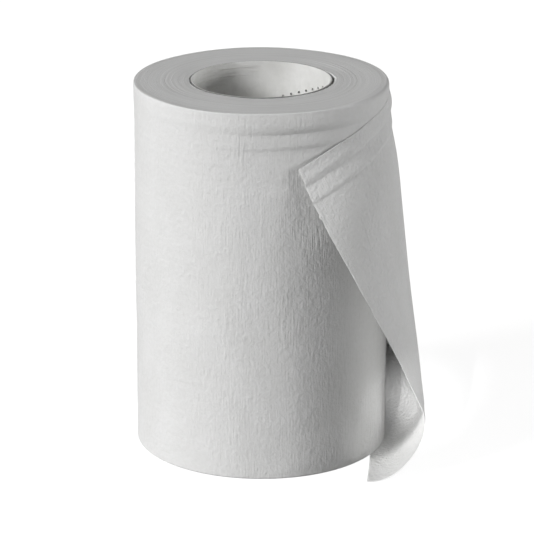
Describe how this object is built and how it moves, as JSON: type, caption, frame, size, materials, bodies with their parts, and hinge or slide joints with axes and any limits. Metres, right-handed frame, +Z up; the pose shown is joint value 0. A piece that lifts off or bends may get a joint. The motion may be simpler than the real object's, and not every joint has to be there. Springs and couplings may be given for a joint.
{
  "type": "paper towel roll",
  "caption": "Cylindrical roll of white towel wound on a cardboard core, its loose end hanging down one side and curling under at the foot.",
  "frame": {"origin": "centre of the core's bore at the foot of the roll", "axes": "+Z up the core, -Y to the front of the roll, where the loose end's free corner lies"},
  "size_m": [0.1567, 0.1454, 0.2],
  "materials": {
    "core_board": "matt white-lined board",
    "towel_paper": "soft embossed towel"
  },
  "bodies": {
    "root": {"cardboard_core": "core_board", "paper_web": "towel_paper"}
  },
  "joints": []
}
